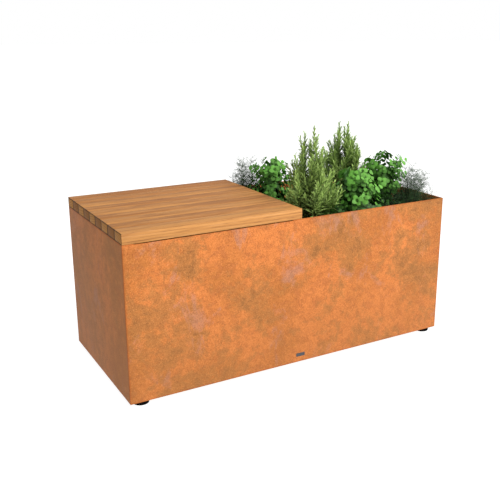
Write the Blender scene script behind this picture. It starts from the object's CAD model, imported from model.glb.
"""A planter box of weathering steel, with a teak lid over one half and herbs in the other.

The box stands on a pale studio floor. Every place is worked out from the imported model's own boxes, and
every size is in metres: +X runs from the lid towards the herbs, -Y is the front and +Z is up.
"""

import logging
import math
import random
from collections.abc import Iterable, Sequence
from dataclasses import dataclass, field
from enum import Enum

import bmesh
import bpy
from mathutils import Matrix, Vector, noise


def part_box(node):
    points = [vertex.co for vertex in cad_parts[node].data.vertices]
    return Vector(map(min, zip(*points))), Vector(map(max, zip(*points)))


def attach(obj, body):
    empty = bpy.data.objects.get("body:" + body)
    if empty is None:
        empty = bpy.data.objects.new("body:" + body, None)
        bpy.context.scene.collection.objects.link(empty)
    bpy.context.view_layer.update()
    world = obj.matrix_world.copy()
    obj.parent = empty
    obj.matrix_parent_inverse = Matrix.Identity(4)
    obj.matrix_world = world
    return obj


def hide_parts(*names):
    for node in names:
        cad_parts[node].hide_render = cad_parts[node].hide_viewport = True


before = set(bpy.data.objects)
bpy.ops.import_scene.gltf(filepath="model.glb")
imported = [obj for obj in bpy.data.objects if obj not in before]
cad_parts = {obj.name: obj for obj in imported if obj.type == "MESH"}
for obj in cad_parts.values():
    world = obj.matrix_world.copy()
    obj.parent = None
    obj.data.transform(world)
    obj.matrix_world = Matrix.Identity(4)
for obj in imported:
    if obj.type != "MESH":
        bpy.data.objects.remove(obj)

LOG = logging.getLogger("planter")
MM = 0.001
ALONG = Vector((1.0, 0.0, 0.0))
ACROSS = Vector((0.0, 1.0, 0.0))
UP = Vector((0.0, 0.0, 1.0))
GOLDEN_ANGLE = math.pi * (3.0 - math.sqrt(5.0))

BOX_BODY = "box"
LID_BODY = "lid"
INSERT_BODY = "planting_insert"
CORNERS = ("front_left", "front_right", "rear_left", "rear_right")

Colour = tuple[float, float, float, float]


def paint(code: str) -> Colour:
    """Turns a colour written as on a screen into the linear colour that shaders use.

    Args:
        code: six hexadecimal digits, such as "d78246".

    Returns:
        Linear red, green and blue, and an alpha of 1.
    """
    channels = [int(code[start : start + 2], 16) / 255.0 for start in (0, 2, 4)]
    linear = [c / 12.92 if c <= 0.04045 else ((c + 0.055) / 1.055) ** 2.4 for c in channels]
    return (linear[0], linear[1], linear[2], 1.0)


# ---------------------------------------------------------------- wiring of materials


class Wires:
    """A node tree while it is being wired. A value given as a socket is linked, and any other is set."""

    def __init__(self, tree: bpy.types.NodeTree) -> None:
        """Starts wiring a tree.

        Args:
            tree: the material's or the group's node tree.
        """
        self.tree = tree

    def node(self, kind: str, values: dict | None = None, **settings: object) -> bpy.types.Node:
        """Adds a node.

        Args:
            kind: the node's type name.
            values: what goes into its inputs, by socket name or number.
            settings: the node's own properties.

        Returns:
            The new node.
        """
        made = self.tree.nodes.new(kind)
        for key, value in settings.items():
            setattr(made, key, value)
        for key, value in (values or {}).items():
            self.feed(made.inputs[key], value)
        return made

    def feed(self, socket: bpy.types.NodeSocket, value: object) -> None:
        """Links or sets one input socket."""
        if isinstance(value, bpy.types.NodeSocket):
            self.tree.links.new(value, socket)
        else:
            socket.default_value = value

    def math(self, operation: str, *values: object, clamp: bool = False) -> bpy.types.NodeSocket:
        """Adds a Math node and returns its result."""
        made = self.node("ShaderNodeMath", dict(enumerate(values)), operation=operation, use_clamp=clamp)
        return made.outputs[0]

    def vector(self, operation: str, *values: object) -> bpy.types.NodeSocket:
        """Adds a Vector Math node and returns its vector."""
        return self.node("ShaderNodeVectorMath", dict(enumerate(values)), operation=operation).outputs[0]

    def noise(
        self, place: object, scale: float, detail: float = 4.0, rough: float = 0.55, twist: float = 0.0
    ) -> bpy.types.NodeSocket:
        """Adds noise.

        Args:
            place: the coordinates to read it at.
            scale: features per metre.
            detail: how many finer layers are added.
            rough: how strong the finer layers are.
            twist: how far the pattern is bent by itself.

        Returns:
            The noise value, about 0.5 on average.
        """
        values = {"Vector": place, "Scale": scale, "Detail": detail, "Roughness": rough, "Distortion": twist}
        return self.node("ShaderNodeTexNoise", values).outputs[0]

    def band(self, value: object, low: float, high: float, top: object = 1.0) -> bpy.types.NodeSocket:
        """Returns a mask that rises smoothly from 0 at low to top at high."""
        values = {"Value": value, "From Min": low, "From Max": high, "To Max": top}
        return self.node("ShaderNodeMapRange", values, interpolation_type="SMOOTHSTEP").outputs[0]

    def stretch(self, place: object, scale: Sequence[float]) -> bpy.types.NodeSocket:
        """Returns coordinates multiplied along each axis."""
        return self.vector("MULTIPLY", place, tuple(scale))

    def blend(self, factor: object, low: object, high: object) -> bpy.types.NodeSocket:
        """Adds a colour mix.

        Args:
            factor: how much of high is used.
            low: the colour at factor 0.
            high: the colour at factor 1.

        Returns:
            The mixed colour.
        """
        made = self.node("ShaderNodeMix", data_type="RGBA", blend_type="MIX")
        self.feed(made.inputs[0], factor)
        self.feed(made.inputs[6], low)
        self.feed(made.inputs[7], high)
        return made.outputs[2]

    def coats(self, colour: object, layers: Sequence[tuple[object, str]]) -> bpy.types.NodeSocket:
        """Lays colours one over another.

        Args:
            colour: the lowest colour.
            layers: the mask and the colour code of each coat, from the lowest up.

        Returns:
            The colour that shows.
        """
        for mask, code in layers:
            colour = self.blend(mask, colour, paint(code))
        return colour


class Effect:
    """A shader node group that several finishes share."""

    def __init__(self, name: str, inputs: dict[str, object], outputs: Sequence[str]) -> None:
        """Makes an empty group.

        Args:
            name: the group's name.
            inputs: each input's name and default: one number, three for a vector or four for a colour.
            outputs: the names of what it puts out; "Color" is a colour and the rest are numbers.
        """
        self.tree = bpy.data.node_groups.new(name, "ShaderNodeTree")
        for key, value in inputs.items():
            kind = "NodeSocketFloat"
            if isinstance(value, tuple):
                kind = "NodeSocketVector" if len(value) == 3 else "NodeSocketColor"
            self.tree.interface.new_socket(name=key, in_out="INPUT", socket_type=kind).default_value = value
        for key in outputs:
            kind = "NodeSocketColor" if key == "Color" else "NodeSocketFloat"
            self.tree.interface.new_socket(name=key, in_out="OUTPUT", socket_type=kind)
        self.wires = Wires(self.tree)
        self.into = self.wires.node("NodeGroupInput").outputs
        self.out = self.wires.node("NodeGroupOutput").inputs

    def give(self, **results: object) -> bpy.types.NodeTree:
        """Feeds the outputs, by name, and returns the finished tree."""
        for key, value in results.items():
            self.wires.feed(self.out[key], value)
        return self.tree


class Look(Enum):
    """The effects that finishes share."""

    EDGE = "edge"
    RUST = "rust"
    TIMBER = "timber"
    MOULD = "mould"
    FOLIAGE = "foliage"


class Effects:
    """The shared effects. Each is built once, when the first finish asks for it."""

    def __init__(self) -> None:
        """Starts with nothing built."""
        self._built: dict[Look, bpy.types.NodeTree] = {}
        self._makers = {
            Look.EDGE: self._edge, Look.RUST: self._rust, Look.TIMBER: self._timber,
            Look.MOULD: self._mould, Look.FOLIAGE: self._foliage,
        }

    def tree(self, look: Look) -> bpy.types.NodeTree:
        """Returns the effect that gives a look."""
        if look not in self._built:
            self._built[look] = self._makers[look]()
        return self._built[look]

    def _rust(self) -> bpy.types.NodeTree:
        """Rust patina: cloudy oranges with flakes, mauve and olive patches and a fine grain.

        The colour turns browner towards Z = 0.
        """
        inputs = {"Place": (0.0, 0.0, 0.0), "Seed": 0.0, "Mauve": 0.5, "Olive": 0.5, "Dull": 0.0, "Edge": 0.0}
        effect = Effect("rust", inputs, ("Color", "Roughness", "Height"))
        w, into = effect.wires, effect.into
        offset = w.node("ShaderNodeCombineXYZ", {axis: into["Seed"] for axis in range(3)}).outputs[0]
        place = w.vector("ADD", into["Place"], offset)

        clouds = w.noise(place, 5.0, 8.0, 0.62, 0.4)
        mottle = w.noise(w.vector("ADD", place, (3.1, 7.7, 1.3)), 38.0, 6.0, 0.72, 0.6)
        grain = w.noise(place, 420.0, 3.0, 0.70)
        specks = w.noise(w.vector("ADD", place, (5.0, 2.0, 9.0)), 280.0, 4.0, 0.74)
        olive = w.noise(w.vector("ADD", place, (9.3, 0.4, 2.6)), 4.6, 10.0, 0.70, 0.3)
        olive = w.math("ADD", olive, w.math("MULTIPLY", w.math("SUBTRACT", mottle, 0.5), 0.35))
        runs = w.stretch(w.vector("ADD", place, (1.7, 4.2, 8.8)), (1.0, 1.0, 0.52))
        mauve = w.noise(runs, 11.0, 8.0, 0.68, 0.5)
        flakes = w.noise(w.vector("ADD", place, (6.4, 1.1, 3.5)), 34.0, 8.0, 0.78, 0.9)
        upright = w.node("ShaderNodeSeparateXYZ", {0: into["Place"]}).outputs[2]
        mauve = w.math("SUBTRACT", mauve, w.math("MULTIPLY", w.math("SUBTRACT", mottle, 0.5), 0.25))

        colour = w.coats(paint("a8662f"), (
            (w.band(clouds, 0.38, 0.60), "c4743a"),
            (w.band(mottle, 0.50, 0.57, 0.50), "a66034"),
            (w.band(mottle, 0.45, 0.37, 0.40), "ca7b40"),
            (w.band(flakes, 0.53, 0.58, 0.38), "9d5829"),
            (w.band(flakes, 0.46, 0.41, 0.28), "cb7636"),
            (w.band(olive, 0.49, 0.57, w.math("MULTIPLY", into["Olive"], 1.1)), "976736"),
            (w.band(olive, 0.57, 0.65, into["Olive"]), "77522b"),
            (w.band(mauve, 0.54, 0.66, into["Mauve"]), "9c7466"),
            (w.band(grain, 0.52, 0.28, 0.70), "7d3f18"),
            (w.band(grain, 0.52, 0.74, 0.60), "e29354"),
            (w.math("MULTIPLY", w.band(specks, 0.52, 0.68, 0.75), w.band(mottle, 0.42, 0.56)), "6a3a1b"),
            (w.band(upright, 0.34, 0.02, 0.28), "8f5c30"),
            (into["Dull"], "8c6b50"),
            (w.math("MULTIPLY", into["Edge"], 0.5), "98490f"),
        ))
        rough = w.math("ADD", 0.74, w.math("MULTIPLY", specks, 0.22))
        height = w.math("SUBTRACT", w.math("MULTIPLY", grain, 0.6), w.band(specks, 0.56, 0.70, 0.5))
        return effect.give(Color=colour, Roughness=rough, Height=height)

    def _edge(self) -> bpy.types.NodeTree:
        """A mask along the edges of a box: 1 on an edge, 0 from Width inwards on its faces."""
        inputs = {"Place": (0.0, 0.0, 0.0), "Low": (0.0, 0.0, 0.0), "High": (1.0, 1.0, 1.0), "Width": 0.004}
        effect = Effect("edge", inputs, ("Mask",))
        w, into = effect.wires, effect.into
        inside = w.vector("MINIMUM", w.vector("SUBTRACT", into["Place"], into["Low"]),
                          w.vector("SUBTRACT", into["High"], into["Place"]))
        x, y, z = w.node("ShaderNodeSeparateXYZ", {0: inside}).outputs
        further = w.math("MINIMUM", w.math("MAXIMUM", x, y), z)
        nearest = w.math("MAXIMUM", w.math("MINIMUM", x, y), further)
        ragged = w.math("MULTIPLY", w.noise(into["Place"], 60.0, 3.0), into["Width"])
        reach = w.math("ADD", nearest, w.math("SUBTRACT", ragged, w.math("MULTIPLY", into["Width"], 0.5)))
        mask = w.math("SUBTRACT", 1.0, w.math("DIVIDE", reach, into["Width"]), clamp=True)
        return effect.give(Mask=mask)

    def _timber(self) -> bpy.types.NodeTree:
        """Oiled teak, sawn from a log that lies along X. Seed picks the place in the log."""
        inputs = {"Place": (0.0, 0.0, 0.0), "Seed": 0.0, "Tone": 0.5, "Edge": 0.0, "End": 0.0, "EndTone": 0.5}
        effect = Effect("timber", inputs, ("Color", "Roughness", "Height"))
        w, into = effect.wires, effect.into
        offset = w.node("ShaderNodeCombineXYZ", {0: into["Seed"], 1: w.math("MULTIPLY", into["Seed"], 3.7),
                                                 2: w.math("MULTIPLY", into["Seed"], 1.9)}).outputs[0]
        place = w.vector("ADD", into["Place"], offset)

        sway = w.noise(w.stretch(place, (2.2, 9.0, 9.0)), 1.0, 3.0, 0.5)
        log = w.vector("ADD", w.stretch(into["Place"], (0.0, 1.0, 1.0)), (0.0, 0.02, 0.11))
        radius = w.node("ShaderNodeVectorMath", {0: log}, operation="LENGTH").outputs["Value"]
        rings = w.math("SINE", w.math("ADD", w.math("MULTIPLY", radius, 900.0),
                                      w.math("MULTIPLY", w.math("ADD", sway, into["Seed"]), 26.0)))
        streaks = w.noise(w.stretch(place, (1.6, 70.0, 70.0)), 1.0, 5.0, 0.6, 0.2)
        fibres = w.noise(w.stretch(place, (16.0, 440.0, 440.0)), 1.0, 4.0, 0.70)
        pores = w.noise(w.stretch(place, (34.0, 1500.0, 1500.0)), 1.0, 2.0, 0.5)
        clouds = w.noise(w.stretch(place, (3.0, 14.0, 14.0)), 1.0, 3.0)
        lines = w.noise(w.stretch(place, (9.0, 210.0, 210.0)), 1.0, 4.0, 0.65, 0.25)

        colour = w.coats(paint("925b2a"), (
            (into["Tone"], "c08749"),
            (w.band(streaks, 0.50, 0.74, 0.75), "7c4823"),
            (w.band(streaks, 0.50, 0.28, 0.65), "c68e52"),
            (w.band(rings, 0.2, 1.0, 0.30), "7a4a25"),
            (w.band(clouds, 0.45, 0.75, 0.30), "a36733"),
            (w.band(lines, 0.52, 0.70, 0.62), "6f4224"),
            (w.band(lines, 0.48, 0.32, 0.48), "c8925c"),
            (w.band(fibres, 0.52, 0.78, 0.70), "63391c"),
            (w.band(pores, 0.64, 0.78, 0.60), "52311a"),
        ))
        sawn = w.coats(paint("7a4e24"), (
            (into["EndTone"], "a47238"),
            (w.band(rings, 0.0, 1.0, 0.45), "6a421e"),
        ))
        colour = w.blend(into["End"], colour, sawn)
        joints = w.math("MULTIPLY", w.band(into["Edge"], 0.20, 0.75, 0.9), into["End"])
        dark = w.math("MAXIMUM", w.band(into["Edge"], 0.75, 1.0, 0.15), joints)
        colour = w.blend(dark, colour, paint("33200f"))
        dry = w.math("ADD", 0.48, w.math("MULTIPLY", into["End"], 0.3))
        rough = w.math("ADD", dry, w.math("MULTIPLY", fibres, 0.2))
        height = w.math("SUBTRACT", w.math("MULTIPLY", fibres, 0.5), w.band(pores, 0.64, 0.80, 0.8))
        return effect.give(Color=colour, Roughness=rough, Height=height)

    def _mould(self) -> bpy.types.NodeTree:
        """Moulded rubber or plastic: a fine grain, and pale dust in the hollows of it."""
        inputs = {"Place": (0.0, 0.0, 0.0), "Grain": 900.0, "Dust": 0.2, "Shade": 0.02}
        effect = Effect("mould", inputs, ("Color", "Roughness", "Height"))
        w, into = effect.wires, effect.into
        values = {"Vector": into["Place"], "Scale": into["Grain"], "Detail": 3.0}
        fine = w.node("ShaderNodeTexNoise", values).outputs[0]
        patches = w.noise(into["Place"], 22.0, 5.0, 0.6)
        base = w.node("ShaderNodeCombineXYZ", {0: into["Shade"], 1: into["Shade"],
                                               2: w.math("MULTIPLY", into["Shade"], 1.12)}).outputs[0]
        dust = w.math("MULTIPLY", w.band(patches, 0.45, 0.80), into["Dust"])
        colour = w.blend(dust, base, paint("6a5a4a"))
        rough = w.math("ADD", 0.5, w.math("MULTIPLY", patches, 0.4))
        return effect.give(Color=colour, Roughness=rough, Height=fine)

    def _foliage(self) -> bpy.types.NodeTree:
        """Living leaves: Tone runs from old and shaded to young and bright, and Rib lightens the midrib."""
        inputs = {
            "Place": (0.0, 0.0, 0.0), "Tone": 0.5, "Rib": 0.0,
            "Old": paint("2c5a1c"), "Young": paint("74b04c"),
        }
        effect = Effect("foliage", inputs, ("Color", "Roughness", "Height"))
        w, into = effect.wires, effect.into
        patches = w.noise(into["Place"], 160.0, 4.0, 0.6)
        veins = w.noise(into["Place"], 900.0, 3.0, 0.6)
        drift = w.math("MULTIPLY", w.math("SUBTRACT", patches, 0.5), 0.5)
        tone = w.math("ADD", into["Tone"], drift, clamp=True)
        colour = w.blend(tone, into["Old"], into["Young"])
        colour = w.blend(w.math("MULTIPLY", into["Rib"], 0.35), colour, into["Young"])
        colour = w.blend(w.band(veins, 0.45, 0.75, 0.25), colour, into["Old"])
        rough = w.math("ADD", 0.45, w.math("MULTIPLY", patches, 0.3))
        return effect.give(Color=colour, Roughness=rough, Height=veins)


EFFECTS = Effects()


def surface(name: str, look: Look, values: dict, bump: float, **constants: float) -> bpy.types.Material:
    """Makes a material from one shared effect.

    Args:
        name: the material's name.
        look: which effect.
        values: what goes into the effect's inputs; "Place" gets the object's own coordinates.
        bump: the height of the relief, in metres.
        constants: plain numbers for the shader's sockets, with spaces written as underscores.

    Returns:
        The material.
    """
    material = bpy.data.materials.new(name)
    material.use_nodes = True
    material.node_tree.nodes.clear()
    w = Wires(material.node_tree)
    place = w.node("ShaderNodeTexCoord").outputs["Object"]
    group = w.node("ShaderNodeGroup", node_tree=EFFECTS.tree(look))
    w.feed(group.inputs["Place"], place)
    for key, value in values.items():
        w.feed(group.inputs[key], value(w, place) if callable(value) else value)
    relief = w.node("ShaderNodeBump", {"Height": group.outputs["Height"], "Distance": bump, "Strength": 1.0})
    shader = w.node("ShaderNodeBsdfPrincipled")
    w.feed(shader.inputs["Base Color"], group.outputs["Color"])
    w.feed(shader.inputs["Roughness"], group.outputs["Roughness"])
    w.feed(shader.inputs["Normal"], relief.outputs[0])
    for key, value in constants.items():
        shader.inputs[key.replace("_", " ")].default_value = value
    w.node("ShaderNodeOutputMaterial", {"Surface": shader.outputs[0]})
    return material


def edge_mask(low: Vector, high: Vector, width: float = 5.0 * MM):
    """Returns a wiring step that puts an edge mask on the box from low to high."""

    def wire(w: Wires, place: bpy.types.NodeSocket) -> bpy.types.NodeSocket:
        """Adds the mask to a material."""
        group = w.node("ShaderNodeGroup", node_tree=EFFECTS.tree(Look.EDGE))
        for key, value in (("Place", place), ("Low", tuple(low)), ("High", tuple(high)), ("Width", width)):
            w.feed(group.inputs[key], value)
        return group.outputs["Mask"]

    return wire


def end_mask(low: Vector, high: Vector, depth: float = 0.4 * MM):
    """Returns a wiring step that is 1 on the sawn ends of a board from low to high, and 0 along it."""

    def wire(w: Wires, place: bpy.types.NodeSocket) -> bpy.types.NodeSocket:
        """Adds the mask to a material."""
        along = w.node("ShaderNodeSeparateXYZ", {0: place}).outputs[0]
        first = w.math("LESS_THAN", along, low.x + depth)
        return w.math("MAXIMUM", first, w.math("GREATER_THAN", along, high.x - depth))

    return wire


def attribute(name: str):
    """Returns a wiring step that reads a number stored on the mesh."""

    def wire(w: Wires, _place: bpy.types.NodeSocket) -> bpy.types.NodeSocket:
        """Adds the attribute to a material."""
        return w.node("ShaderNodeAttribute", attribute_name=name, attribute_type="GEOMETRY").outputs["Fac"]

    return wire


@dataclass(frozen=True)
class Corten:
    """Weathering steel. Mauve and olive say how much of each patch shows, and dull how faded it all is."""

    name: str
    seed: float
    mauve: float = 0.52
    olive: float = 0.55
    dull: float = 0.0
    slot: str = "corten"

    def material(self, low: Vector | None = None, high: Vector | None = None) -> bpy.types.Material:
        """Makes the material, with darker borders where a box is given.

        Args:
            low: the lowest corner of the sheet.
            high: the highest corner of the sheet.

        Returns:
            The material.
        """
        values = {"Seed": self.seed, "Mauve": self.mauve, "Olive": self.olive, "Dull": self.dull}
        if low is not None and high is not None:
            values["Edge"] = edge_mask(low, high)
        return surface(self.name, Look.RUST, values, 0.25 * MM, Specular_IOR_Level=0.25)


@dataclass(frozen=True)
class Teak:
    """Oiled teak. Tone runs from dark to light."""

    name: str
    seed: float
    tone: float
    end_tone: float = 0.5
    slot: str = "teak"

    def material(self, low: Vector, high: Vector) -> bpy.types.Material:
        """Makes the material, with darker joints along the borders of the box from low to high."""
        values = {"Seed": self.seed, "Tone": self.tone, "EndTone": self.end_tone}
        values["Edge"], values["End"] = edge_mask(low, high), end_mask(low, high)
        return surface(self.name, Look.TIMBER, values, 0.08 * MM, Specular_IOR_Level=0.25)


@dataclass(frozen=True)
class Moulded:
    """Rubber or plastic."""

    name: str
    slot: str
    shade: float
    grain: float
    dust: float
    gloss: float = 0.35

    def material(self) -> bpy.types.Material:
        """Makes the material."""
        values = {"Shade": self.shade, "Grain": self.grain, "Dust": self.dust}
        return surface(self.name, Look.MOULD, values, 0.05 * MM, Specular_IOR_Level=self.gloss)


@dataclass(frozen=True)
class Steel:
    """Steel with a fine grain and a little dust. Shade runs from black to bright."""

    name: str
    shade: float = 0.5
    dust: float = 0.05
    slot: str = "steel"

    def material(self) -> bpy.types.Material:
        """Makes the material."""
        values = {"Shade": self.shade, "Grain": 700.0, "Dust": self.dust}
        return surface(self.name, Look.MOULD, values, 0.02 * MM, Metallic=0.9)


@dataclass(frozen=True)
class Foliage:
    """Leaves or stems of one herb, from their old and shaded colour to their young and bright one."""

    name: str
    slot: str
    old: str
    young: str

    def material(self) -> bpy.types.Material:
        """Makes the material, which reads each leaf's own tone."""
        values = {
            "Tone": attribute("tone"), "Rib": attribute("rib"),
            "Old": paint(self.old), "Young": paint(self.young),
        }
        return surface(self.name, Look.FOLIAGE, values, 0.05 * MM, Specular_IOR_Level=0.3)


# ---------------------------------------------------------------- shaping


def block(low: Vector, high: Vector) -> bmesh.types.BMesh:
    """Makes a block with sharp edges from its lowest to its highest corner."""
    bm = bmesh.new()
    bmesh.ops.create_cube(bm, size=1.0)
    bmesh.ops.scale(bm, vec=high - low, verts=bm.verts)
    bmesh.ops.translate(bm, vec=(low + high) / 2.0, verts=bm.verts)
    return bm


def score(bm: bmesh.types.BMesh, place: Vector, normal: Vector) -> list:
    """Cuts the faces of a bmesh along a plane, takes nothing away, and returns what lies on the cut."""
    everything = bm.verts[:] + bm.edges[:] + bm.faces[:]
    made = bmesh.ops.bisect_plane(bm, geom=everything, dist=1e-6, plane_co=place, plane_no=normal)
    return made["geom_cut"]


def under(low: Vector, high: Vector) -> Vector:
    """Returns the middle of a box's underside."""
    return Vector(((low.x + high.x) / 2.0, (low.y + high.y) / 2.0, low.z))


def slab(low: Vector, high: Vector, edge: float, segments: int = 2) -> bmesh.types.BMesh:
    """Makes a block with softened edges.

    Args:
        low: the lowest corner.
        high: the highest corner.
        edge: how much is taken off each edge.
        segments: how round the edges are.

    Returns:
        The block.
    """
    bm = block(low, high)
    soften(bm, bm.edges[:], edge, segments)
    return bm


def soften(bm: bmesh.types.BMesh, edges: Iterable, width: float, segments: int) -> None:
    """Bevels edges of a bmesh."""
    bmesh.ops.bevel(
        bm, geom=list(edges), offset=width, offset_type="OFFSET", segments=segments,
        profile=0.5, affect="EDGES", clamp_overlap=True, material=-1,
    )


def turned(profile: Sequence[tuple[float, float]], centre: Vector, steps: int = 48) -> bmesh.types.BMesh:
    """Turns a profile round an upright axis.

    Args:
        profile: radius and height of each point, from the axis and back to it.
        centre: where the axis meets height 0.
        steps: how many sides the round has.

    Returns:
        The closed shape.
    """
    bm = bmesh.new()
    points = [bm.verts.new(centre + Vector((radius, 0.0, height))) for radius, height in profile]
    edges = [bm.edges.new(pair) for pair in zip(points, points[1:])]
    bmesh.ops.spin(bm, geom=points + edges, cent=centre, axis=UP, angle=math.tau, steps=steps, use_merge=True)
    bmesh.ops.remove_doubles(bm, verts=bm.verts, dist=1e-6)
    bmesh.ops.recalc_face_normals(bm, faces=bm.faces)
    return bm


def piece(
    name: str, bm: bmesh.types.BMesh, materials: Sequence[bpy.types.Material], body: str,
    stands_for: Sequence[str] = (), smooth_under: float = 35.0,
) -> bpy.types.Object:
    """Makes a finished piece of the object from a bmesh.

    Args:
        name: the piece's name.
        bm: its shape in place; it is freed.
        materials: its materials, in the order of the faces' material numbers.
        body: the moving body that it rides on.
        stands_for: the plain solids that it takes the place of.
        smooth_under: edges flatter than this angle, in degrees, are shaded smooth.

    Returns:
        The new object.
    """
    mesh = bpy.data.meshes.new(name)
    bm.to_mesh(mesh)
    bm.free()
    mesh.shade_smooth()
    mesh.set_sharp_from_angle(angle=math.radians(smooth_under))
    for material in materials:
        mesh.materials.append(material)
    made = bpy.data.objects.new(name, mesh)
    bpy.context.scene.collection.objects.link(made)
    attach(made, body)
    if stands_for:
        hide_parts(*stands_for)
    LOG.info("%s: %d faces on %s", name, len(mesh.polygons), body)
    return made


def dress_node(node: str, material: bpy.types.Material) -> None:
    """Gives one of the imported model's own solids a finished material."""
    mesh_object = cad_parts[node]
    mesh_object.data.materials.clear()
    mesh_object.data.materials.append(material)
    LOG.info("%s: dressed", node)


def node_box(node: str) -> tuple[Vector, Vector]:
    """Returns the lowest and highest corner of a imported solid."""
    low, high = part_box(node)
    return Vector(low), Vector(high)


# ---------------------------------------------------------------- steel body


@dataclass
class SteelBody:
    """The welded box: four walls, the floor, the divider, the ledges and the blank plate."""

    edge: float = 0.6 * MM
    bead: float = 3.0 * MM
    recess: tuple[float, float] = (-470.0 * MM, -28.0 * MM)
    recess_depth: float = 2.0 * MM
    rivet: float = 1.1 * MM
    rivet_inset: float = 3.0 * MM
    walls: dict[str, Corten] = field(default_factory=lambda: {
        "front_panel": Corten("corten_front", 0.0),
        "rear_panel": Corten("corten_rear", 4.3),
        "left_end_panel": Corten("corten_left_end", 8.1, mauve=0.5, olive=0.3, dull=0.32),
        "right_end_panel": Corten("corten_right_end", 12.6),
    })

    def build(self) -> None:
        """Builds the walls, their welds, the inner sheets and the plate."""
        for node, finish in self.walls.items():
            self._wall(node, finish)
        self._inner_sheets()
        self._welds()
        self._plate()

    def _wall(self, node: str, finish: Corten) -> None:
        """Makes one wall, with its edges just broken."""
        low, high = node_box(node)
        bm = self._recessed(low, high) if node == "front_panel" else slab(low, high, self.edge)
        piece(f"{node}_sheet", bm, [finish.material(low, high)], BOX_BODY, [node])

    def _recessed(self, low: Vector, high: Vector) -> bmesh.types.BMesh:
        """Returns the front wall, whose top edge is a little lower along the recess under the lid."""
        bm = block(low, Vector((high.x, high.y, high.z - self.recess_depth)))
        for x in self.recess:
            score(bm, Vector((x, 0.0, 0.0)), ALONG)
        tops = [face for face in bm.faces if face.normal.z > 0.9]
        raised = [face for face in tops if not self.recess[0] < face.calc_center_median().x < self.recess[1]]
        made = bmesh.ops.extrude_face_region(bm, geom=raised)["geom"]
        lifted = [item for item in made if isinstance(item, bmesh.types.BMVert)]
        bmesh.ops.translate(bm, vec=UP * self.recess_depth, verts=lifted)
        bmesh.ops.recalc_face_normals(bm, faces=bm.faces)
        sharp = [edge for edge in bm.edges if edge.calc_face_angle(0.0) > 0.5]
        soften(bm, sharp, self.edge, 2)
        return bm

    def _inner_sheets(self) -> None:
        """Dresses the floor, the divider and the ledges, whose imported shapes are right."""
        inside = Corten("corten_inside", 16.9, mauve=0.5, olive=0.8)
        material = inside.material()
        for node in ("floor_panel", "divider_panel", "lid_ledge", "liner_ledge_front", "liner_ledge_rear"):
            dress_node(node, material)

    def _welds(self) -> None:
        """Lays a rippled bead of weld up each inner corner of the box."""
        left, right = node_box("left_end_panel")[1].x, node_box("right_end_panel")[0].x
        front, rear = node_box("front_panel")[1].y, node_box("rear_panel")[0].y
        bottom, top = node_box("floor_panel")[1].z, node_box("lid_ledge")[0].z
        material = Corten("corten_weld", 20.2, mauve=0.9, olive=0.6).material()
        for corner in CORNERS:
            x = left if corner.endswith("left") else right
            y = front if corner.startswith("front") else rear
            ripples = int((top - bottom) / (2.0 * self.bead))
            outline = [(0.0, bottom)]
            for count in range(ripples):
                outline.append((self.bead * 0.86, bottom + (2 * count + 0.4) * self.bead))
                outline.append((self.bead, bottom + (2 * count + 1.4) * self.bead))
            outline.append((0.0, bottom + 2 * ripples * self.bead))
            bm = turned(outline, Vector((x, y, 0.0)), 12)
            piece(f"corner_weld_{corner}", bm, [material], BOX_BODY)

    def _plate(self) -> None:
        """Makes the small blank plate with its two rivets."""
        low, high = node_box("name_plate")
        bm = slab(low, high, 0.12 * MM, 1)
        for x in (low.x + self.rivet_inset, high.x - self.rivet_inset):
            made = bmesh.ops.create_uvsphere(bm, u_segments=16, v_segments=8, radius=self.rivet)
            flat = Matrix.Diagonal((1.0, 0.35, 1.0, 1.0))
            place = Matrix.Translation((x, low.y, (low.z + high.z) / 2.0))
            bmesh.ops.transform(bm, matrix=place @ flat, verts=made["verts"])
        steel = Steel("plate_steel", shade=0.10, dust=0.6)
        piece("blank_plate", bm, [steel.material()], BOX_BODY, ["name_plate"])


# ---------------------------------------------------------------- feet and buffers


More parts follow.
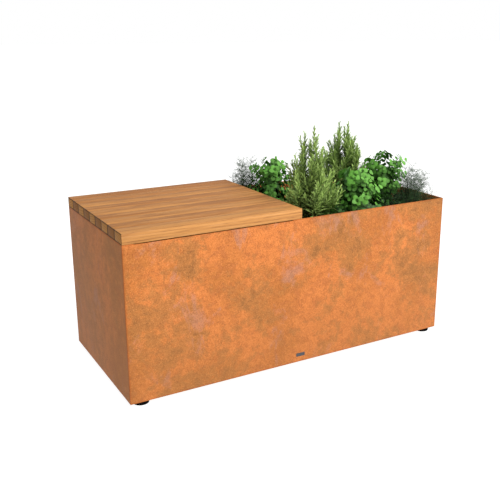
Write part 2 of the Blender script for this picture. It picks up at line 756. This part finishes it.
@dataclass
class Foot:
    """A levelling foot: a rubber pad, a threaded stud and a nut welded under the floor."""

    corner: str
    rubber: bpy.types.Material
    steel: bpy.types.Material
    groove: float = 0.6 * MM
    sole_lip: float = 3.5 * MM
    socket: float = 6.5 * MM
    pitch: float = 1.5 * MM
    thread_depth: float = 0.9 * MM
    stud_radius: float = 5.0 * MM
    plain_height: float = 20.5 * MM
    hexagon_radius: float = 8.0 * MM
    hexagon_height: float = 5.0 * MM
    hexagon_middle: float = 17.0 * MM

    def build(self) -> None:
        """Builds the pad and the stud, and dresses the nut."""
        self._pad()
        self._stud()
        dress_node(f"foot_nut_{self.corner}", self.steel)

    def _pad(self) -> None:
        """Turns the pad, with a tread groove round it and a socket for the stud."""
        node = f"foot_pad_{self.corner}"
        low, high = node_box(node)
        radius, height = (high.x - low.x) / 2.0, high.z - low.z
        neck, dent = radius - self.sole_lip, radius - self.groove
        sole = [
            (0.0, 0.0), (radius - 1.4 * MM, 0.0), (radius - 0.5 * MM, 0.4 * MM), (radius, 1.4 * MM),
            (radius, 3.0 * MM), (dent, 3.4 * MM), (dent, 4.2 * MM), (radius, 4.6 * MM),
            (radius, 5.6 * MM), (radius - 0.5 * MM, 6.4 * MM), (neck + 0.4 * MM, 8.2 * MM), (neck, 8.9 * MM),
        ]
        shoulder = [
            (neck, height - 3.2 * MM), (neck - 0.5 * MM, height - 1.8 * MM),
            (neck - 1.8 * MM, height - 0.6 * MM), (neck - 3.0 * MM, height),
        ]
        hole = [
            (self.socket + 0.1 * MM, height), (self.socket, height - 0.4 * MM),
            (self.socket, 6.1 * MM), (0.0, 6.0 * MM),
        ]
        bm = turned(sole + shoulder + hole, under(low, high), 64)
        piece(f"{node}_rubber", bm, [self.rubber], f"foot_{self.corner}", [node])

    def _stud(self) -> None:
        """Turns the stud with its thread rings and joins a hexagon to it."""
        node = f"foot_stud_{self.corner}"
        low, high = node_box(node)
        centre = under(low, high)
        centre.z = 0.0
        radius, plain = self.stud_radius, self.plain_height
        rings = int((high.z - plain) / self.pitch) - 1
        profile = [(0.0, low.z), (radius - 0.6 * MM, low.z), (radius, low.z + 0.6 * MM), (radius, plain)]
        for count in range(rings):
            crest = plain + (count + 1) * self.pitch
            profile += [(radius - self.thread_depth, crest - self.pitch / 2.0), (radius, crest)]
        profile += [(radius - self.thread_depth, high.z), (0.0, high.z)]
        bm = turned(profile, centre, 24)
        wide = self.hexagon_radius
        hexagon = bmesh.ops.create_cone(
            bm, cap_ends=True, segments=6, radius1=wide, radius2=wide, depth=self.hexagon_height
        )["verts"]
        bmesh.ops.translate(bm, vec=centre + UP * self.hexagon_middle, verts=hexagon)
        soften(bm, {edge for vert in hexagon for edge in vert.link_edges}, 0.5 * MM, 2)
        piece(f"{node}_steel", bm, [self.steel], f"screw_{self.corner}", [node])


def build_buffers(rubber: bpy.types.Material) -> None:
    """Turns the four low rubber buffers that the lid rests on."""
    for side in ("left_front", "left_rear", "right_front", "right_rear"):
        node = f"lid_buffer_{side}"
        low, high = node_box(node)
        radius, height = (high.x - low.x) / 2.0, high.z - low.z
        profile = [(0.0, 0.0), (radius, 0.0), (radius, 0.5 * height), (0.95 * radius, 0.8 * height),
                   (0.86 * radius, height), (0.0, height)]
        bm = turned(profile, under(low, high))
        piece(f"{node}_rubber", bm, [rubber], BOX_BODY, [node])


# ---------------------------------------------------------------- lid


@dataclass
class Lid:
    """The teak lid: nine staves glued edge to edge, on two cleats that are screwed up into them."""

    edge: float = 0.7 * MM
    tones: tuple[float, ...] = (0.80, 0.42, 0.66, 0.36, 0.72, 0.40, 0.62, 0.46, 0.34)
    end_tones: tuple[float, float] = (0.15, 0.9)
    cleat_seeds: dict[str, float] = field(default_factory=lambda: {"left": 21.0, "right": 24.0})

    def build(self) -> None:
        """Builds the staves, the cleats and the screws."""
        for number, tone in enumerate(self.tones, start=1):
            end_tone = self.end_tones[number % 2]
            self._board(f"lid_stave_{number}", Teak(f"teak_stave_{number}", 1.37 * number, tone, end_tone))
        for side, seed in self.cleat_seeds.items():
            self._board(f"lid_cleat_{side}", Teak(f"teak_cleat_{side}", seed, 0.45))
        steel = Steel("screw_steel").material()
        for side in self.cleat_seeds:
            for number in range(1, 5):
                dress_node(f"lid_screw_{side}_{number}", steel)

    def _board(self, node: str, finish: Teak) -> None:
        """Makes one board with its edges just broken."""
        low, high = node_box(node)
        bm = slab(low, high, self.edge, 2)
        piece(f"{node}_board", bm, [finish.material(low, high)], LID_BODY, [node])


# ---------------------------------------------------------------- liner, soil and herbs


@dataclass
class Soil:
    """Dark potting soil with a lumpy top and loose crumbs."""

    step: float = 7.0 * MM
    lump: float = 4.0 * MM
    corner: float = 16.0 * MM
    crumbs: int = 520
    crumb_sizes: tuple[float, float] = (1.2, 4.2)
    margin: float = 20.0 * MM
    seed: int = 11

    def build(self) -> None:
        """Builds the bed of soil and the crumbs on it."""
        values = {"Shade": 0.005, "Grain": 420.0, "Dust": 0.06}
        material = surface("potting_soil", Look.MOULD, values, 0.8 * MM, Specular_IOR_Level=0.15)
        low, high = node_box("soil")
        bm = block(low, high)
        upright = [e for e in bm.edges if abs(e.verts[0].co.z - e.verts[1].co.z) > 0.01]
        soften(bm, upright, self.corner, 5)
        for axis, normal in enumerate((ALONG, ACROSS)):
            cuts = int((high[axis] - low[axis]) / self.step)
            for count in range(1, cuts):
                place = low.copy()
                place[axis] += (high[axis] - low[axis]) * count / cuts
                score(bm, place, normal)
        for vert in bm.verts:
            inner = min(vert.co.x - low.x, high.x - vert.co.x, vert.co.y - low.y, high.y - vert.co.y)
            if vert.co.z > high.z - 1e-4 and inner > 1e-4:
                vert.co.z += self._relief(vert.co)
        piece("potting_soil", bm, [material], INSERT_BODY, ["soil"], smooth_under=60.0)
        self._scatter(low, high, material)

    def _relief(self, place: Vector) -> float:
        """Returns how far the soil stands above its level at a place."""
        return self.lump * (noise.noise(place * 18.0) + 0.6 * noise.noise(place * 60.0))

    def _scatter(self, low: Vector, high: Vector, material: bpy.types.Material) -> None:
        """Strews crumbs and bark chips over the soil."""
        dice = random.Random(self.seed)
        bm = bmesh.new()
        for _ in range(self.crumbs):
            x = dice.uniform(low.x + self.margin, high.x - self.margin)
            y = dice.uniform(low.y + self.margin, high.y - self.margin)
            place = Vector((x, y, high.z))
            place.z += self._relief(place) + 0.4 * MM
            size = dice.uniform(*self.crumb_sizes) * MM
            lump = bmesh.ops.create_icosphere(bm, subdivisions=1, radius=size)["verts"]
            turn = Matrix.Rotation(dice.uniform(0.0, math.tau), 4, dice.choice("XYZ"))
            long, wide, thick = dice.uniform(0.7, 1.6), dice.uniform(0.5, 1.0), dice.uniform(0.4, 0.8)
            shape = Matrix.Diagonal((long, wide, thick, 1.0))
            bmesh.ops.transform(bm, matrix=Matrix.Translation(place) @ turn @ shape, verts=lump)
        piece("soil_crumbs", bm, [material], INSERT_BODY)


@dataclass(frozen=True)
class Room:
    """The room that the herbs grow in: inside the walls up to the rim, and clear of the lid."""

    left: float
    right: float
    front: float
    rear: float
    rim: float
    overhang: Vector
    swell: float = 30.0 * MM

    def hold(self, place: Vector, reach: float) -> Vector:
        """Returns the place nearest to the one given where a leaf of that reach fits.

        Above the rim the herbs may lean out over the walls, by the whole overhang from the swell upwards.
        """
        over = min(1.0, max(0.0, (place.z - self.rim - reach) / self.swell))
        along, across = (over * self.overhang[axis] - reach for axis in (0, 1))
        kept = place.copy()
        kept.x = min(max(kept.x, self.left + reach), self.right + along)
        kept.y = max(min(kept.y, self.rear + across), self.front - across)
        return kept

    @staticmethod
    def of_box() -> "Room":
        """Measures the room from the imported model, and keeps it 1 mm clear of the lid."""
        front, rear = node_box("front_panel")[1], node_box("rear_panel")[0]
        left, right = node_box("lid_stave_1")[1].x + 1.0 * MM, node_box("right_end_panel")[0].x
        return Room(left, right, front.y, rear.y, front.z, Vector((34.0, 16.0, 0.0)) * MM)


class Bush:
    """Leaves and stems that are gathered into one mesh."""

    def __init__(self) -> None:
        """Starts an empty bush."""
        self.leaves = bmesh.new()
        self.stems = bpy.data.curves.new("stems", "CURVE")
        self.stems.dimensions = "3D"
        self.stems.bevel_depth = 1.0
        self.stems.bevel_resolution = 0
        self.stems.use_fill_caps = True

    def stem(self, points: Sequence[Vector], thick: float, thin: float) -> None:
        """Adds a tapering stem through some points.

        Args:
            points: the places that it runs through.
            thick: its radius at the first point.
            thin: its radius at the last point.
        """
        spline = self.stems.splines.new("POLY")
        spline.points.add(len(points) - 1)
        for number, (knot, place) in enumerate(zip(spline.points, points)):
            knot.co = (*place, 1.0)
            knot.radius = thick + (thin - thick) * number / (len(points) - 1)

    def leaf(self, template: bpy.types.Mesh, place: Matrix, tone: float) -> None:
        """Adds a copy of a leaf.

        Args:
            template: the leaf, at its own origin.
            place: where it goes, and how it is turned and scaled.
            tone: how young and bright it is, from 0 to 1.
        """
        copy = template.copy()
        copy.transform(place)
        copy.attributes["tone"].data.foreach_set("value", [tone] * len(copy.vertices))
        self.leaves.from_mesh(copy)
        bpy.data.meshes.remove(copy)

    def finish(self, name: str, foliage: Foliage, bark: bpy.types.Material, node: str) -> None:
        """Joins the stems to the leaves as one piece that stands for its node."""
        holder = bpy.data.objects.new("holder", self.stems)
        bpy.context.scene.collection.objects.link(holder)
        bpy.context.view_layer.update()
        graph = bpy.context.evaluated_depsgraph_get()
        stem_mesh = bpy.data.meshes.new_from_object(holder.evaluated_get(graph))
        bpy.data.objects.remove(holder)
        bpy.data.curves.remove(self.stems)
        stem_bm = bmesh.new()
        stem_bm.from_mesh(stem_mesh)
        bmesh.ops.remove_doubles(stem_bm, verts=stem_bm.verts, dist=1e-6)
        bmesh.ops.recalc_face_normals(stem_bm, faces=stem_bm.faces)
        for face in stem_bm.faces:
            face.material_index = 1
        stem_bm.to_mesh(stem_mesh)
        stem_bm.free()
        self.leaves.from_mesh(stem_mesh)
        bpy.data.meshes.remove(stem_mesh)
        materials = [foliage.material(), bark]
        piece(name, self.leaves, materials, INSERT_BODY, [node], smooth_under=50.0)


def template_from(name: str, bm: bmesh.types.BMesh, ribs: dict[int, float] | None = None) -> bpy.types.Mesh:
    """Keeps a leaf shape for copying, with its tone and rib attributes.

    Args:
        name: the mesh's name.
        bm: the leaf; it is freed.
        ribs: how strongly the midrib shows, by vertex number.

    Returns:
        The mesh to copy.
    """
    bm.verts.ensure_lookup_table()
    tone, rib = bm.verts.layers.float.new("tone"), bm.verts.layers.float.new("rib")
    for vert in bm.verts:
        vert[tone] = 0.5
        vert[rib] = (ribs or {}).get(vert.index, 0.0)
    mesh = bpy.data.meshes.new(name)
    bm.to_mesh(mesh)
    bm.free()
    return mesh


def needle_template() -> bpy.types.Mesh:
    """A needle leaf of unit length along +Z, widest at a third and bent at the tip."""
    bm = bmesh.new()
    bmesh.ops.create_cone(bm, cap_ends=True, segments=4, radius1=0.042, radius2=0.012, depth=1.0)
    bmesh.ops.translate(bm, vec=(0.0, 0.0, 0.5), verts=bm.verts)
    for height, wide, bend in ((0.30, 2.0, 0.03), (0.75, 2.8, 0.02)):
        cut = score(bm, UP * height, UP)
        ring = [item for item in cut if isinstance(item, bmesh.types.BMVert)]
        bmesh.ops.scale(bm, vec=(wide, 0.8, 1.0), verts=ring)
        bmesh.ops.translate(bm, vec=(0.0, bend, 0.0), verts=ring)
    tip = [vert for vert in bm.verts if vert.co.z > 0.99]
    bmesh.ops.translate(bm, vec=(0.0, -0.08, 0.0), verts=tip)
    return template_from("needle", bm)


def round_leaf_template() -> bpy.types.Mesh:
    """A cupped leaf of unit width with three shallow lobes. It points along +Y from its stalk's end."""
    bm = bmesh.new()
    bmesh.ops.create_circle(bm, cap_ends=True, cap_tris=True, segments=12, radius=0.5)
    centre = min(bm.verts, key=lambda vert: vert.co.length)
    for vert in bm.verts:
        if vert is centre:
            continue
        around = math.atan2(vert.co.x, vert.co.y)
        lobes = 1.0 + 0.06 * math.cos(3.0 * around)
        notch = 0.30 * math.exp(-((math.pi - abs(around)) ** 2) / 0.12)
        vert.co *= lobes - notch
        vert.co.z = -0.30 * vert.co.length_squared + 0.04 * math.cos(3.0 * around)
    bmesh.ops.translate(bm, vec=(0.0, 0.42, 0.0), verts=bm.verts)
    rib_at = centre.co.copy()
    bmesh.ops.recalc_face_normals(bm, faces=bm.faces)
    bmesh.ops.solidify(bm, geom=bm.faces[:], thickness=0.02)
    bm.verts.ensure_lookup_table()
    bm.verts.index_update()
    ribs = {vert.index: 1.0 for vert in bm.verts if (vert.co - rib_at).length < 0.03}
    return template_from("round_leaf", bm, ribs)


def thread_template() -> bpy.types.Mesh:
    """A thread of unit length along +Z that tapers to its tip."""
    bm = bmesh.new()
    bmesh.ops.create_cone(bm, cap_ends=True, segments=3, radius1=0.021, radius2=0.008, depth=1.0)
    bmesh.ops.translate(bm, vec=(0.0, 0.0, 0.5), verts=bm.verts)
    return template_from("thread", bm)


def aim(place: Vector, along: Vector, facing: Vector, size: float) -> Matrix:
    """Places a leaf.

    Args:
        place: where its stalk starts.
        along: the way its Z axis points.
        facing: the way its Y axis leans.
        size: its scale.

    Returns:
        The matrix that puts it there.
    """
    z = along.normalized()
    x = facing.cross(z)
    x = x.normalized() if x.length > 1e-4 else z.orthogonal().normalized()
    turn = Matrix((x, z.cross(x), z)).transposed().to_4x4()
    return Matrix.Translation(place) @ turn @ Matrix.Scale(size, 4)


def beside(along: Vector, angle: float) -> Vector:
    """Returns a direction square to another one, at an angle round it."""
    return Matrix.Rotation(angle, 3, along) @ along.orthogonal().normalized()


def run_length(points: Sequence[Vector]) -> float:
    """Returns how long the run through some points is."""
    return sum((b - a).length for a, b in zip(points, points[1:]))


def at_share(points: Sequence[Vector], share: float) -> tuple[Vector, Vector]:
    """Returns the place at a share of a run of points, and the way the run goes there."""
    steps = len(points) - 1
    scaled = min(share * steps, steps - 1e-3)
    index = int(scaled)
    way = (points[index + 1] - points[index]).normalized()
    return points[index].lerp(points[index + 1], scaled - index), way


@dataclass
class Herb:
    """What every herb has: its node, its seed, the room it grows in, its bark and the leaf it copies."""

    node: str
    seed: int
    room: Room
    bark: bpy.types.Material
    template: bpy.types.Mesh

    def __post_init__(self) -> None:
        """Measures the herb from its node and starts its bush."""
        low, high = node_box(self.node)
        self.base = under(low, high)
        self.radius = (high.x - low.x) / 2.0
        self.height = high.z - low.z
        self.dice = random.Random(self.seed)
        self.bush = Bush()

    def around(self, number: int) -> Vector:
        """Returns the level direction of one shoot out of many."""
        angle = number * GOLDEN_ANGLE + self.dice.uniform(-0.3, 0.3)
        return Vector((math.cos(angle), math.sin(angle), 0.0))

    def close(self, finish: str, slot: str, old: str, young: str) -> None:
        """Makes the piece from the bush, with its leaves between an old and a young colour."""
        foliage = Foliage(f"{self.node}_{finish}", slot, old, young)
        self.bush.finish(f"{self.node}_bush", foliage, self.bark, self.node)


@dataclass
class Rosemary(Herb):
    """Upright shoots with side shoots, all set with needles."""

    shoots: int = 19
    side_shoots: int = 4
    drop: float = 0.56
    needle: float = 33.0 * MM
    spacing: float = 7.4 * MM
    steps: int = 12
    sway: float = 4.0 * MM
    tuft: float = 70.0 * MM
    bare_foot: float = 0.12

    def build(self) -> None:
        """Grows the main shoots from the middle outwards."""
        for number in range(self.shoots):
            self._main_shoot(number, (number / (self.shoots - 1)) ** 0.7)
        self.close("leaves", "rosemary", "273c14", "a5c268")

    def _main_shoot(self, number: int, share: float) -> None:
        """Grows one main shoot and the side shoots on it.

        Args:
            number: which shoot it is.
            share: 0 for the middle of the bush and 1 for its outside.
        """
        dice, outward = self.dice, self.around(number)
        reach = self.radius * (0.05 + 0.90 * share) * dice.uniform(0.9, 1.15)
        top = (self.height - 12.0 * MM) * (1.0 - self.drop * share**1.25) * dice.uniform(0.93, 1.0)
        start = self.base + outward * 0.12 * self.radius
        points = []
        for step in range(self.steps + 1):
            t = step / self.steps
            sway = self.sway * Vector((math.sin(8.0 * t + number), math.cos(6.0 * t + 2 * number), 0.0))
            points.append(start + outward * reach * t**0.75 + UP * top * t + sway * t)
        self._needled(points, 2.2 * MM, 0.30)
        for count in range(self.side_shoots):
            index = 4 + int((self.steps - 5) * (count + dice.random()) / self.side_shoots)
            stem = (points[index + 1] - points[index]).normalized()
            out = Matrix.Rotation(dice.uniform(-1.4, 1.4), 3, "Z") @ outward
            length = dice.uniform(40.0, 68.0) * MM * (1.2 - 0.75 * index / self.steps)
            branch = []
            for step in range(6):
                t = step / 5
                rise = stem * (0.60 * t + 0.40 * t * t) + out * (0.75 * t - 0.25 * t * t)
                branch.append(points[index] + rise * length)
            self._needled(branch, 1.2 * MM, 0.55)

    def _needled(self, points: list[Vector], thick: float, youth: float) -> None:
        """Adds a shoot and sets needles all round it.

        Args:
            points: the places that the shoot runs through.
            thick: its radius at the bottom.
            youth: the tone of its lowest needles.
        """
        points = [self.room.hold(place, 5.0 * MM) for place in points]
        self.bush.stem(points, thick, 0.6 * MM)
        length = run_length(points)
        whorls = max(4, int(length / self.spacing))
        for whorl in range(whorls + 1):
            t = whorl / whorls
            place, stem = at_share(points, t)
            if place.z < self.base.z + self.bare_foot * self.height:
                continue
            tip = max(0.0, 1.0 - (1.0 - t) * length / self.tuft)
            for side in range(3):
                angle = whorl * 0.9 + side * math.tau / 3.0 + self.dice.uniform(-0.4, 0.4)
                self._needle(place, stem, angle, tip, youth + (0.45 - 0.3 * youth) * t)

    def _needle(self, place: Vector, stem: Vector, angle: float, tip: float, tone: float) -> None:
        """Sets one needle on a shoot.

        Args:
            place: where it starts.
            stem: the way that the shoot grows there.
            angle: the needle's place round the shoot.
            tip: 1 at the tip of the shoot and 0 below the tip's tuft.
            tone: how young it is.
        """
        dice = self.dice
        side = beside(stem, angle)
        lean = math.radians(dice.uniform(36.0, 62.0) * (1.0 - 0.55 * tip))
        along = stem * math.cos(lean) + side * math.sin(lean) + UP * 0.12
        size = self.needle * dice.uniform(0.75, 1.12) * (1.0 - 0.48 * tip)
        end = self.room.hold(place + along.normalized() * size, 1.0 * MM)
        tone = min(1.0, max(0.0, tone + 0.25 * tip + dice.uniform(-0.46, 0.40)))
        self.bush.leaf(self.template, aim(place, end - place, -side, size), tone)


@dataclass
class Parsley(Herb):
    """Arching stalks that carry small rounded leaves in pairs."""

    stalks: int = 48
    low_stalks: int = 16
    leaf: float = 14.5 * MM
    pitch: float = 10.5 * MM
    drop: float = 0.55
    spread: float = 1.0
    steps: int = 10
    arch: float = 1.45

    def build(self) -> None:
        """Grows the stalks, and then the low and shaded ones round their feet."""
        for number in range(self.stalks):
            self._stalk(number, ((number + 0.5) / self.stalks) ** 0.6, 0.0)
        for number in range(self.low_stalks):
            self._stalk(number, 1.0, 1.0)
        self.close("leaves", "parsley", "142f0f", "66a63c")

    def _stalk(self, number: int, share: float, shade: float) -> None:
        """Grows one stalk with its pairs of leaves.

        Args:
            number: which stalk it is.
            share: 0 for the middle of the clump and 1 for its outside.
            shade: 1 for a low stalk in the shade and 0 for one in the light.
        """
        dice, outward = self.dice, self.around(number)
        reach = self.spread * self.radius * (0.10 + share + 0.3 * shade) * dice.uniform(0.65, 1.3)
        top = (self.height - 0.3 * self.leaf) * (1.0 - self.drop * share**2.2) * dice.uniform(0.60, 1.0)
        top = top * (1.0 - shade) + 0.36 * self.height * dice.uniform(0.8, 1.1) * shade
        points = []
        for step in range(self.steps + 1):
            t = step / self.steps
            place = self.base + outward * (0.10 * self.radius + reach * t**1.2)
            place += UP * top * math.sin(self.arch * t) / math.sin(self.arch)
            points.append(self.room.hold(place, 8.0 * MM))
        self.bush.stem(points, 1.0 * MM, 0.5 * MM)
        pairs = int(0.78 * run_length(points) / self.pitch)
        for pair in range(pairs + 1):
            place, stem = at_share(points, 0.22 + 0.78 * pair / pairs)
            height = (place.z - self.base.z) / self.height
            depth = Vector((place.x - self.base.x, place.y - self.base.y)).length / self.radius
            tone = 0.45 * height + 0.55 * min(depth, 1.2) - 0.05 - 0.7 * shade + dice.uniform(-0.3, 0.25)
            tone = min(1.0, max(0.0, tone))
            turn = pair * 1.7 + number
            for side in (0.0, math.pi):
                out = beside(stem, turn + side)
                self._leaf(place, out * 0.9 + stem * 0.35, outward, tone)

    def _leaf(self, place: Vector, heading: Vector, outward: Vector, tone: float) -> None:
        """Sets one leaf.

        Args:
            place: where it starts on the stalk.
            heading: the way it points.
            outward: the way out of the clump, which it faces.
            tone: how young it is.
        """
        size = self.leaf * self.dice.uniform(0.7, 1.2)
        start = self.room.hold(place + heading * 0.25 * size, 0.95 * size)
        normal = (UP * 0.60 + outward * 0.90 + self._jitter(0.42)).normalized()
        flat = (heading - normal * heading.dot(normal)).normalized()
        self.bush.leaf(self.template, aim(start, normal, flat, size), tone)

    def _jitter(self, size: float) -> Vector:
        """Returns a small random vector."""
        return Vector([self.dice.uniform(-size, size) for _ in range(3)])


@dataclass
class Dill(Herb):
    """Thin stems that split again and again into fine threads."""

    stems: int = 36
    low_stems: int = 18
    threads: int = 10
    sprays: int = 4
    knots: int = 10

    def build(self) -> None:
        """Grows the stems, and then the low ones that fill the foot of the clump."""
        for number in range(self.stems):
            self._frond(number, (number + 0.5) / self.stems, 1.0)
        for number in range(self.low_stems):
            self._frond(number, 0.4 + 0.6 * (number + 0.5) / self.low_stems, 0.52)
        self.close("threads", "dill", "182815", "4d703c")

    def _frond(self, number: int, share: float, rise: float) -> None:
        """Grows one stem with its side sprays.

        Args:
            number: which stem it is.
            share: 0 for the middle of the clump and 1 for its outside.
            rise: how high it grows, as a share of a tall stem.
        """
        dice, outward = self.dice, self.around(number)
        reach = self.radius * (0.20 + 1.45 * share) * dice.uniform(0.75, 1.2)
        top = (self.height - 8.0 * MM) * rise * (1.0 - 0.50 * share**1.6) * dice.uniform(0.70, 1.0)
        points = []
        for knot in range(self.knots):
            t = knot / (self.knots - 1)
            place = self.base + outward * (0.06 * self.radius + reach * t**1.3) + UP * top * t**0.85
            points.append(self.room.hold(place, 3.0 * MM))
        self.bush.stem(points, 0.7 * MM, 0.2 * MM)
        for index in range(3, self.knots):
            along = (points[index] - points[index - 1]).normalized()
            for _ in range(self.sprays):
                side = beside(along, dice.uniform(0.0, math.tau))
                length = dice.uniform(14.0, 36.0) * MM
                self._spray(points[index], (along * 0.7 + side).normalized(), length)

    def _spray(self, place: Vector, along: Vector, length: float) -> None:
        """Grows a side spray of threads.

        Args:
            place: where it leaves its stem.
            along: the way it grows.
            length: how long it is.
        """
        dice = self.dice
        end = self.room.hold(place + along * length, 2.0 * MM)
        self.bush.stem([place, place.lerp(end, 0.5) + UP * 1.5 * MM, end], 0.22 * MM, 0.12 * MM)
        for count in range(self.threads):
            start = place.lerp(end, (count + 1) / self.threads)
            side = beside(along, dice.uniform(0.0, math.tau))
            tip = start + (along * 0.8 + side).normalized() * dice.uniform(5.0, 11.0) * MM
            way = self.room.hold(tip, 1.0 * MM) - start
            if way.length > 1.0 * MM:
                self.bush.leaf(self.template, aim(start, way, side, way.length), dice.random())


class Planting:
    """The liner with its soil and herbs."""

    def build(self) -> None:
        """Dresses the liner, and builds the soil and the herbs."""
        liner = Moulded("liner_plastic", "plastic", shade=0.012, grain=1200.0, dust=0.10)
        dress_node("planting_liner", liner.material())
        Soil().build()
        room = Room.of_box()
        bark = Foliage("green_stem", "parsley", "1d3a14", "4c7a34").material()
        woody = Foliage("woody_stem", "rosemary", "3a3320", "6a6a3c").material()
        threads = Foliage("dill_thread", "dill", "182616", "3c5236").material()
        needle, leaf, thread = needle_template(), round_leaf_template(), thread_template()
        herbs = (
            Rosemary("rosemary_front", 3, room, woody, needle),
            Rosemary("rosemary_rear", 8, room, woody, needle, drop=0.46),
            Parsley("parsley_left", 5, room, bark, leaf, stalks=42, low_stalks=28, drop=0.42, spread=1.15),
            Parsley("parsley_middle", 9, room, bark, leaf, low_stalks=28, spread=1.12),
            Parsley("parsley_right", 17, room, bark, leaf, stalks=34, drop=0.12, spread=1.15),
            Dill("dill_left", 21, room, threads, thread),
            Dill("dill_right", 22, room, threads, thread),
        )
        for herb in herbs:
            herb.build()


# ---------------------------------------------------------------- studio


@dataclass
class Studio:
    """A pale floor, soft light from the front right, and the camera."""

    place: tuple[float, float, float] = (-1.0215, -1.8048, 0.9116)
    azimuth: float = -30.02
    elevation: float = 15.81
    lens: float = 52.49
    sensor: float = 36.0
    shift: tuple[float, float] = (-0.0338, -0.0303)
    floor_glow: float = 0.92
    sky: Colour = (0.90, 0.98, 1.10, 1.0)
    sky_strength: float = 0.48
    lamp_from: tuple[float, float, float] = (0.48, -0.62, 0.72)
    lamp_power: float = 4.7
    lamp_spread: float = 75.0
    lamp_colour: tuple[float, float, float] = (1.0, 0.965, 0.90)

    def build(self) -> None:
        """Sets up the camera, the floor and the light."""
        self._camera()
        self._floor()
        self._light()
        bpy.context.scene.view_settings.view_transform = "Standard"

    def _camera(self) -> None:
        """Stands the camera in front of the box, to the left and a little above it."""
        data = bpy.data.cameras.new("camera")
        data.lens, data.sensor_width = self.lens, self.sensor
        data.shift_x, data.shift_y = self.shift
        data.clip_start, data.clip_end = 0.01, 100.0
        camera = bpy.data.objects.new("camera", data)
        camera.location = self.place
        camera.rotation_euler = (math.radians(90.0 - self.elevation), 0.0, math.radians(self.azimuth))
        bpy.context.scene.collection.objects.link(camera)
        bpy.context.scene.camera = camera

    def _floor(self) -> None:
        """Lays a wide pale floor under the feet."""
        bm = bmesh.new()
        bmesh.ops.create_grid(bm, x_segments=1, y_segments=1, size=40.0)
        mesh = bpy.data.meshes.new("floor")
        bm.to_mesh(mesh)
        bm.free()
        material = bpy.data.materials.new("floor_paint")
        material.use_nodes = True
        shader = material.node_tree.nodes["Principled BSDF"]
        shader.inputs["Base Color"].default_value = (0.20, 0.20, 0.20, 1.0)
        shader.inputs["Emission Color"].default_value = (1.0, 1.0, 1.0, 1.0)
        shader.inputs["Emission Strength"].default_value = self.floor_glow
        shader.inputs["Roughness"].default_value = 0.9
        mesh.materials.append(material)
        floor = bpy.data.objects.new("floor", mesh)
        bpy.context.scene.collection.objects.link(floor)

    def _light(self) -> None:
        """Lights the box from a pale sky and one large soft lamp at the front right."""
        world = bpy.data.worlds.new("sky")
        world.use_nodes = True
        w = Wires(world.node_tree)
        world.node_tree.nodes.clear()
        seen = w.node("ShaderNodeBackground", {"Color": (1.0, 1.0, 1.0, 1.0), "Strength": 1.0})
        lit = w.node("ShaderNodeBackground", {"Color": self.sky, "Strength": self.sky_strength})
        eye = w.node("ShaderNodeLightPath").outputs["Is Camera Ray"]
        both = w.node("ShaderNodeMixShader", {0: eye, 1: lit.outputs[0], 2: seen.outputs[0]})
        w.node("ShaderNodeOutputWorld", {"Surface": both.outputs[0]})
        bpy.context.scene.world = world

        lamp = bpy.data.lights.new("key", "SUN")
        lamp.energy = self.lamp_power
        lamp.angle = math.radians(self.lamp_spread)
        lamp.color = self.lamp_colour
        key = bpy.data.objects.new("key", lamp)
        key.rotation_euler = Vector(self.lamp_from).to_track_quat("Z", "Y").to_euler()
        bpy.context.scene.collection.objects.link(key)


def main() -> None:
    """Builds the planter from the ground up."""
    logging.basicConfig(level=logging.INFO, format="%(name)s: %(message)s")
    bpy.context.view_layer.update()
    Studio().build()
    rubber = Moulded("foot_rubber", "rubber", shade=0.001, grain=700.0, dust=0.01, gloss=0.04).material()
    steel = Steel("foot_steel").material()
    SteelBody().build()
    for corner in CORNERS:
        Foot(corner, rubber, steel).build()
    build_buffers(rubber)
    Lid().build()
    Planting().build()


if __name__ == "__main__":
    main()
